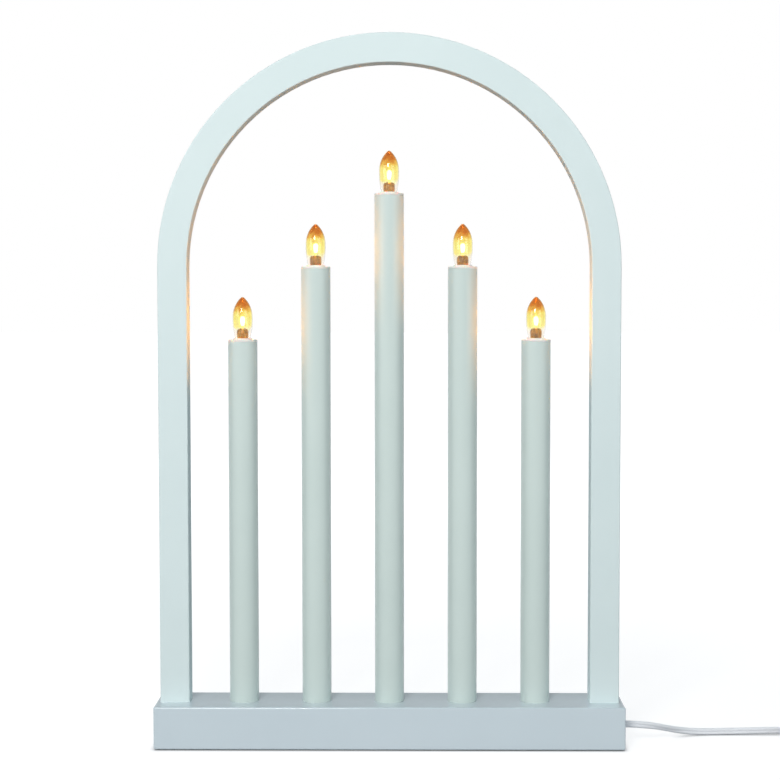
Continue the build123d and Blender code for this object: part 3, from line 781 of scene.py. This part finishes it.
finishSet = {
    "white_paint": {"first": (0.720, 0.825, 0.830), "second": (0.748, 0.850, 0.854), "drift": 9.0,
                    "grain": 520.0, "rough": (0.84, 0.94), "bump": 0.10, "depth": 0.0002, "marks": 14.0,
                    "specular": 0.08},
    # the same white paint as the arch, given a darker and bluer colour that stands in for the shade on the
    # base (painted shade); its glossier coat mirrors the legs and candles
    "base_paint": {"first": (0.600, 0.690, 0.745), "second": (0.626, 0.716, 0.768), "drift": 9.0,
                   "grain": 520.0, "rough": (0.17, 0.27), "bump": 0.06, "depth": 0.0002, "marks": 14.0,
                   "ior": 1.5, "specular": 0.4, "coat": 0.65, "coatRough": 0.10},
    "candle_plastic": {"first": (0.615, 0.712, 0.682), "second": (0.643, 0.738, 0.708), "drift": 14.0,
                       "grain": 900.0, "rough": (0.28, 0.38), "bump": 0.04, "marks": 40.0, "ior": 1.5},
    "holder_plastic": {"first": (0.78, 0.80, 0.76), "second": (0.82, 0.83, 0.79), "drift": 90.0,
                       "grain": 1400.0, "rough": (0.34, 0.46), "bump": 0.06, "subsurface": 0.25,
                       "subsurfaceScale": 0.0015},
    "brass": {"first": (0.72, 0.50, 0.22), "second": (0.84, 0.64, 0.32), "drift": 240.0, "grain": 2600.0,
              "rough": (0.16, 0.34), "bump": 0.10, "metallic": 1.0, "depth": 0.00005},
    "black_glass": {"first": (0.012, 0.012, 0.014), "second": (0.03, 0.028, 0.03), "drift": 300.0,
                    "grain": 1500.0, "rough": (0.08, 0.2), "bump": 0.06},
    "solder": {"first": (0.50, 0.50, 0.51), "second": (0.66, 0.66, 0.67), "drift": 500.0, "grain": 1800.0,
               "rough": (0.28, 0.46), "bump": 0.22, "metallic": 1.0},
    "wire_plastic": {"first": (0.74, 0.74, 0.71), "second": (0.80, 0.80, 0.77), "drift": 60.0,
                     "grain": 2000.0, "rough": (0.42, 0.56), "bump": 0.08},
    "crimp_sleeve": {"first": (0.58, 0.62, 0.65), "second": (0.68, 0.72, 0.75), "drift": 120.0,
                     "grain": 1600.0, "rough": (0.25, 0.4), "bump": 0.08},
    "white_flex": {"first": (0.930, 0.945, 0.985), "second": (0.945, 0.955, 0.990), "drift": 30.0,
                   "grain": 1500.0, "rough": (0.34, 0.44), "bump": 0.02, "depth": 0.0001},
    "bush_plastic": {"first": (0.60, 0.63, 0.65), "second": (0.67, 0.69, 0.71), "drift": 80.0,
                     "grain": 1700.0, "rough": (0.42, 0.58), "bump": 0.12},
    "plug_plastic": {"first": (0.85, 0.87, 0.89), "second": (0.89, 0.90, 0.92), "drift": 40.0,
                     "grain": 2400.0, "speckle": 0.8, "rough": (0.40, 0.55), "bump": 0.16, "depth": 0.00012},
    "nickel_pins": {"first": (0.62, 0.60, 0.56), "second": (0.72, 0.70, 0.66), "drift": 160.0,
                    "grain": 3000.0, "rough": (0.14, 0.30), "bump": 0.06, "metallic": 1.0, "depth": 0.00005},
    "felt": {"first": (0.34, 0.33, 0.31), "second": (0.52, 0.50, 0.47), "drift": 1500.0,
             "stretch": (1.0, 1.0, 0.6), "rough": (0.85, 0.98), "bump": 0.9, "depth": 0.0004, "sheen": 0.4},
    "hardboard": {"first": (0.20, 0.115, 0.055), "second": (0.32, 0.20, 0.11), "drift": 420.0,
                  "stretch": (1.0, 1.0, 1.0), "rough": (0.48, 0.66), "bump": 0.25, "depth": 0.0002},
    "beech": {"first": (0.47, 0.29, 0.14), "second": (0.62, 0.42, 0.23), "drift": 520.0,
              "stretch": (1.0, 1.0, 0.05), "rough": (0.48, 0.64), "bump": 0.3, "depth": 0.0002},
    "zinc_steel": {"first": (0.52, 0.53, 0.56), "second": (0.66, 0.67, 0.69), "drift": 260.0, "grain": 2400.0,
                   "rough": (0.22, 0.42), "bump": 0.12, "metallic": 1.0, "depth": 0.00006},
    "tie_strap": {"first": (0.60, 0.62, 0.63), "second": (0.72, 0.73, 0.74), "drift": 1400.0,
                  "stretch": (1.0, 0.25, 1.0), "rough": (0.6, 0.8), "bump": 0.6, "depth": 0.0002,
                  "sheen": 0.2},
}
finishes = {name: makeFinish(name, look) for name, look in finishSet.items()}

# edge, edgeFrom and edgeTo: the painted shade multiplied into the glass's colour towards its outline
glassSet = {"ior": 1.45, "rough": (0.0, 0.03), "marks": 120.0, "bump": 0.04, "edge": (0.70, 0.66, 0.58),
            "edgeFrom": 0.55, "edgeTo": 0.95, "grain": 260.0, "depth": 0.0002}


def makeBulbGlass(number, candleX, candleTop):
    material, tree, skin = newMaterial(f"bulbGlass_{number}")
    centre = tree.nodes.new("ShaderNodeMapping")
    centre.inputs["Location"].default_value = (-candleX, 0.0, -candleTop)
    tree.links.new(placeOf(tree), centre.inputs["Vector"])
    place = centre.outputs[0]
    # painted glow of the lit filament, given as the glass's colour
    glassGlowPaint = addGroup(tree, paintedGlowTint, place)
    marks = addGroup(tree, handlingMarks, place, Scale=glassSet["marks"], Low=glassSet["rough"][0],
                     High=glassSet["rough"][1])
    grain = addGroup(tree, fineGrain, place, Scale=glassSet["grain"], Speckle=0.0)
    paintedEdgeShade = tree.nodes.new("ShaderNodeLayerWeight")  # painted shade: the glass's colour is darkened towards its edge, where it faces away
    paintedEdgeShadeRange = rangeNode(tree, glassSet["edgeFrom"], glassSet["edgeTo"])
    factor, first, second, result = colourMix(tree, "MULTIPLY")
    second.default_value = (*glassSet["edge"], 1.0)
    tree.links.new(paintedEdgeShade.outputs["Facing"], paintedEdgeShadeRange.inputs["Value"])
    tree.links.new(paintedEdgeShadeRange.outputs[0], factor)
    tree.links.new(glassGlowPaint.outputs["Colour"], first)
    tree.links.new(result, skin.inputs["Base Color"])
    tree.links.new(marks.outputs["Roughness"], skin.inputs["Roughness"])
    addBump(tree, skin, grain.outputs["Height"], glassSet["bump"], glassSet["depth"])
    skin.inputs["Transmission Weight"].default_value = 1.0
    skin.inputs["IOR"].default_value = glassSet["ior"]
    return material


stemSet = {"first": (0.16, 0.058, 0.002), "second": (0.62, 0.285, 0.008), "drift": 420.0, "ior": 1.3,
           "paintedStemGlow": 0.06, "marks": 200.0, "rough": (0.05, 0.25)}


def makeStemGlass():
    material, tree, skin = newMaterial("stemGlass")
    place = placeOf(tree)
    tone = addGroup(tree, toneDrift, place, Scale=stemSet["drift"], First=stemSet["first"],
                    Second=stemSet["second"])
    marks = addGroup(tree, handlingMarks, place, Scale=stemSet["marks"], Low=stemSet["rough"][0],
                     High=stemSet["rough"][1])
    tree.links.new(tone.outputs["Colour"], skin.inputs["Base Color"])
    tree.links.new(tone.outputs["Colour"], skin.inputs["Emission Color"])
    tree.links.new(marks.outputs["Roughness"], skin.inputs["Roughness"])
    # painted glow: the stem gives off a faint amber light of its own, standing in for the filament's light on
    # it
    skin.inputs["Emission Strength"].default_value = stemSet["paintedStemGlow"]
    skin.inputs["Transmission Weight"].default_value = 1.0
    skin.inputs["IOR"].default_value = stemSet["ior"]
    return material


filamentSet = {"first": (1.0, 0.78, 0.36), "second": (1.0, 0.86, 0.52), "drift": 900.0, "strength": 4.0,
               "rough": 0.5}


def makeFilamentGlow():
    material, tree, skin = newMaterial("filamentGlow")
    place = placeOf(tree)
    tone = addGroup(tree, toneDrift, place, Scale=filamentSet["drift"], First=filamentSet["first"],
                    Second=filamentSet["second"])
    tree.links.new(tone.outputs["Colour"], skin.inputs["Base Color"])
    tree.links.new(tone.outputs["Colour"], skin.inputs["Emission Color"])
    skin.inputs["Emission Strength"].default_value = filamentSet["strength"]
    skin.inputs["Roughness"].default_value = filamentSet["rough"]
    return material


def dress(piece, material):
    piece.data.materials.clear()
    piece.data.materials.append(material)


stemGlass, filamentGlow = makeStemGlass(), makeFilamentGlow()
for row in frame["record"]["subparts"]:
    if row["material_slot"] in finishes:
        dress(nodes[row["node"]], finishes[row["material_slot"]])
for number, (candleX, candleTop) in enumerate(bulbSet["candles"], 1):
    glass = nodes[f"bulb_glass_{number}"]
    dress(glass, makeBulbGlass(number, candleX, candleTop))
    glass.visible_shadow = False
    dress(nodes[f"bulb_mount_{number}"], stemGlass)
    dress(bulbStems[number - 1], stemGlass)
    bulbStems[number - 1].visible_shadow = False
    dress(bulbWires[number - 1], finishes["zinc_steel"])
    dress(bulbFilaments[number - 1], filamentGlow)
# the base takes the darker copy of the white paint, a painted shade
dress(nodes["base_rail"], finishes["base_paint"])
dress(mainsLead, finishes["white_flex"])
dress(plugShell, finishes["plug_plastic"])
dress(coilStrap, finishes["tie_strap"])
print("finishes given")

# studio: pale floor, soft light, warm lamps in the bulbs
studioSet = {
    "floorSize": 30.0, "floorDrift": 1.5, "floorRough": 0.9,
    "floorFirst": (0.33, 0.34, 0.35), "floorSecond": (0.36, 0.37, 0.38),
    "floorNear": 0.80, "floorFar": 1.0, "nearReach": 0.35, "farReach": 1.4, "paintedContactReach": 0.004,
    "ambient": (0.78, 0.90, 1.0), "ambientStrength": 0.215,
    "ceiling": (0.10, 0.12, 0.13), "whiteBelow": 0.16, "ceilingFrom": 0.26,
    "key": {"place": (-0.37, -1.50, 1.1), "aim": (0.0, 0.0, 0.32), "size": (0.55, 0.5), "power": 18.2,
            "colour": (1.0, 0.99, 0.96)},
    "left": {"place": (-1.5, -1.0, 0.7), "aim": (0.0, 0.0, 0.25), "size": (0.8, 0.8), "power": 5.4,
             "colour": (0.98, 0.99, 1.0)},
    "back": {"place": (-0.2, 1.5, 1.5), "aim": (0.0, 0.0, 0.25), "size": (1.4, 0.8), "power": 9.0,
             "colour": (0.88, 0.96, 1.0)},
    "fill": {"place": (1.5, -1.6, 0.7), "aim": (0.0, 0.0, 0.25), "size": (1.2, 1.2), "power": 9.5,
             "colour": (0.93, 0.975, 0.985)},
    "bulbSides": 4, "bulbPower": 0.021, "bulbSize": (0.004, 0.007), "bulbRise": 0.0125,
    "bulbColour": (1.0, 0.38, 0.05),
}


def makeSoftbox(name, look):
    data = bpy.data.lights.new(name, "AREA")
    data.shape = "RECTANGLE"
    data.size, data.size_y = look["size"]
    data.energy = look["power"]
    data.color = look["colour"]
    lamp = bpy.data.objects.new(name, data)
    scene.collection.objects.link(lamp)
    lamp.location = look["place"]
    ahead = Vector(look["aim"]) - Vector(look["place"])
    lamp.rotation_euler = ahead.to_track_quat("-Z", "Y").to_euler()
    return lamp


def seenDirectly(tree):
    path = tree.nodes.new("ShaderNodeLightPath")
    first, second = mathNode(tree, "MAXIMUM"), mathNode(tree, "MAXIMUM")
    tree.links.new(path.outputs["Is Camera Ray"], first.inputs[0])
    tree.links.new(path.outputs["Is Glossy Ray"], first.inputs[1])
    tree.links.new(first.outputs[0], second.inputs[0])
    tree.links.new(path.outputs["Is Transmission Ray"], second.inputs[1])
    return second.outputs[0]


def makeFloor():
    clearSelection()
    bpy.ops.mesh.primitive_plane_add(size=studioSet["floorSize"], location=(0, 0, 0))
    floor = bpy.context.object
    floor.name = "studioFloor"
    material, tree, skin = newMaterial("floorPaper")
    place = placeOf(tree)
    tone = addGroup(tree, toneDrift, place, Scale=studioSet["floorDrift"], First=studioSet["floorFirst"],
                    Second=studioSet["floorSecond"])
    tree.links.new(tone.outputs["Colour"], skin.inputs["Base Color"])
    skin.inputs["Roughness"].default_value = studioSet["floorRough"]
    skin.inputs["Specular IOR Level"].default_value = 0.0
    white = tree.nodes.new("ShaderNodeEmission")
    away = tree.nodes.new("ShaderNodeVectorMath")
    away.operation = "LENGTH"
    whiteness = rangeNode(tree, studioSet["nearReach"], studioSet["farReach"], studioSet["floorNear"],
                          studioSet["floorFar"])
    paintedContactShadow = tree.nodes.new("ShaderNodeAmbientOcclusion")  # painted contact shadow: the floor's white is darkened where something stands close over it
    paintedContactShadow.inputs["Distance"].default_value = studioSet["paintedContactReach"]
    whiteWithPaintedShadow, lift = mathNode(tree, "MULTIPLY"), mathNode(tree, "MULTIPLY")
    tree.links.new(place, away.inputs[0])
    tree.links.new(away.outputs["Value"], whiteness.inputs["Value"])
    tree.links.new(seenDirectly(tree), lift.inputs[0])
    tree.links.new(whiteness.outputs[0], whiteWithPaintedShadow.inputs[0])
    tree.links.new(paintedContactShadow.outputs["AO"], whiteWithPaintedShadow.inputs[1])
    tree.links.new(whiteWithPaintedShadow.outputs[0], lift.inputs[1])
    tree.links.new(lift.outputs[0], white.inputs["Strength"])
    both = tree.nodes.new("ShaderNodeAddShader")
    tree.links.new(skin.outputs[0], both.inputs[0])
    tree.links.new(white.outputs[0], both.inputs[1])
    out = next(n for n in tree.nodes if n.type == "OUTPUT_MATERIAL")
    tree.links.new(both.outputs[0], out.inputs["Surface"])
    dress(floor, material)


def makeWorld():
    world = bpy.data.worlds.new("studioWorld")
    scene.world = world
    world.use_nodes = True
    tree = world.node_tree
    tree.nodes.clear()
    out = tree.nodes.new("ShaderNodeOutputWorld")
    around = tree.nodes.new("ShaderNodeBackground")
    around.inputs["Color"].default_value = (*studioSet["ambient"], 1.0)
    around.inputs["Strength"].default_value = studioSet["ambientStrength"]
    seen = tree.nodes.new("ShaderNodeBackground")
    split = tree.nodes.new("ShaderNodeSeparateXYZ")
    height = rangeNode(tree, studioSet["whiteBelow"], studioSet["ceilingFrom"])
    factor, first, second, result = colourMix(tree)
    first.default_value = (1.0, 1.0, 1.0, 1.0)
    second.default_value = (*studioSet["ceiling"], 1.0)
    choose = tree.nodes.new("ShaderNodeMixShader")
    tree.links.new(tree.nodes.new("ShaderNodeTexCoord").outputs["Generated"], split.inputs[0])
    tree.links.new(split.outputs["Z"], height.inputs["Value"])
    tree.links.new(height.outputs[0], factor)
    path = tree.nodes.new("ShaderNodeLightPath")
    direct, mirrored, backdrop, shown = colourMix(tree)
    backdrop.default_value = (1.0, 1.0, 1.0, 1.0)
    clear = mathNode(tree, "MAXIMUM")
    tree.links.new(path.outputs["Is Camera Ray"], clear.inputs[0])
    tree.links.new(path.outputs["Is Transmission Ray"], clear.inputs[1])
    tree.links.new(clear.outputs[0], direct)
    tree.links.new(result, mirrored)
    tree.links.new(shown, seen.inputs["Color"])
    tree.links.new(seenDirectly(tree), choose.inputs[0])
    tree.links.new(around.outputs[0], choose.inputs[1])
    tree.links.new(seen.outputs[0], choose.inputs[2])
    tree.links.new(choose.outputs[0], out.inputs["Surface"])


def makeBulbLamps():
    for number, (candleX, candleTop) in enumerate(bulbSet["candles"], 1):
        place = Vector((candleX, 0.0, candleTop + studioSet["bulbRise"]))
        for side in range(studioSet["bulbSides"]):  # an upright filament shines to the sides
            turn = Matrix.Rotation(2 * math.pi * side / studioSet["bulbSides"], 3, "Z")
            look = {"place": place, "aim": place + turn @ Vector((1, 0, 0)), "size": studioSet["bulbSize"],
                    "power": studioSet["bulbPower"], "colour": studioSet["bulbColour"]}
            lamp = makeSoftbox(f"bulbLamp_{number}_{side + 1}", look)
            lamp.visible_camera = lamp.visible_glossy = lamp.visible_transmission = False
            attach(lamp, f"bulb_{number}_envelope")


makeSoftbox("keyBox", studioSet["key"])
makeSoftbox("leftBox", studioSet["left"])
makeSoftbox("backBox", studioSet["back"]).visible_glossy = False
makeSoftbox("fillBox", studioSet["fill"])
makeFloor()
makeWorld()
makeBulbLamps()
print("studio lit")
